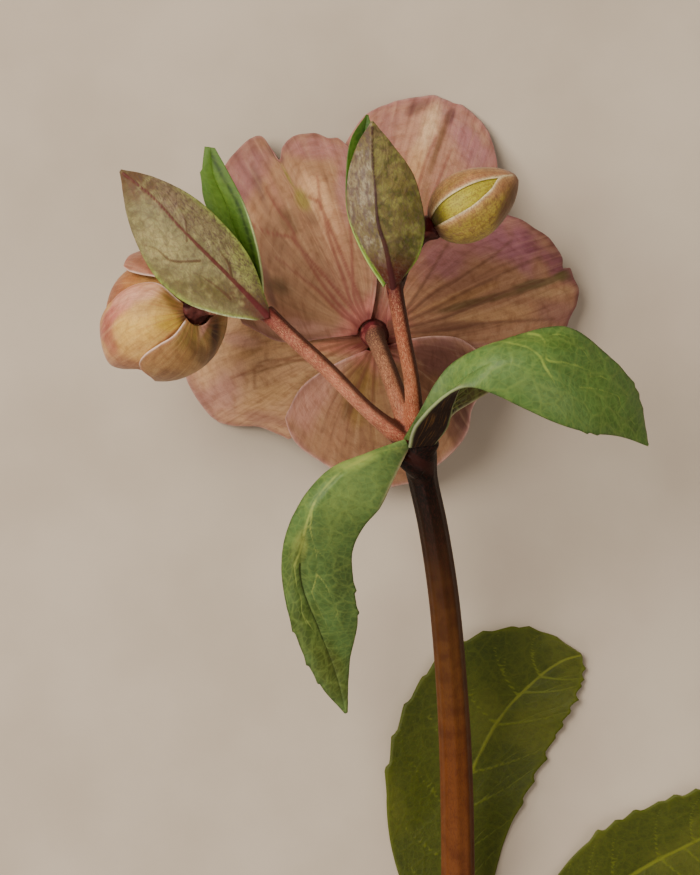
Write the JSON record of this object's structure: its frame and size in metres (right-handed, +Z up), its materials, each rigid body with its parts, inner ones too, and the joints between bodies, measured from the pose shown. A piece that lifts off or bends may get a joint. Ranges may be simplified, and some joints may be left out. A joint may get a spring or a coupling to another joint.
{
  "type": "cut hellebore flower stem",
  "caption": "Cut hellebore stem lying down, with an open flower, a half-open flower, a closed bud, bracts and a toothed stem leaf.",
  "frame": {"origin": "centre of the bounding box in plan, on the surface that the stem lies on", "axes": "+Y along the stem from its cut end towards the open flower, +Z up from the surface, +X to the right as the picture shows it"},
  "size_m": [0.1292, 0.1892, 0.0591],
  "materials": {
    "stem": "smooth plant stem, dark brown to russet, salmon flecked stalks",
    "tepal": "matte petal, dusty mauve with buff and fine red-brown veins",
    "young_tepal": "matte petal, yellow buff with a pink edge",
    "bud": "olive yellow with a brown-pink flush",
    "nectary": "waxy yellow-green",
    "stamen": "cream threads with pale pods",
    "carpel": "olive green",
    "green_bract": "leaf, mid green with a pale net of veins",
    "olive_bract": "leaf underside, grey-olive flecked purple, maroon midrib",
    "stem_leaf": "leaf, dark olive green"
  },
  "bodies": {
    "root": {"stem_and_stalks": "stem", "tepal_upper_left": "tepal", "tepal_top": "tepal", "tepal_right": "tepal", "tepal_bottom": "tepal", "tepal_left": "tepal", "nectaries": "nectary", "stamens": "stamen", "carpels": "carpel", "young_tepal_lower": "young_tepal", "young_tepal_front": "young_tepal", "young_tepal_upper": "young_tepal", "young_tepal_back": "young_tepal", "young_tepal_under": "young_tepal", "young_stamens": "stamen", "bud": "bud", "bract_lower_right": "green_bract", "bract_lower_left": "green_bract", "bract_small": "green_bract", "bract_left_back": "green_bract", "bract_right_back": "green_bract", "bract_left_front": "olive_bract", "bract_right_front": "olive_bract", "leaflet_upper": "stem_leaf", "leaflet_side": "stem_leaf", "leaflet_lower": "stem_leaf"}
  },
  "joints": []
}
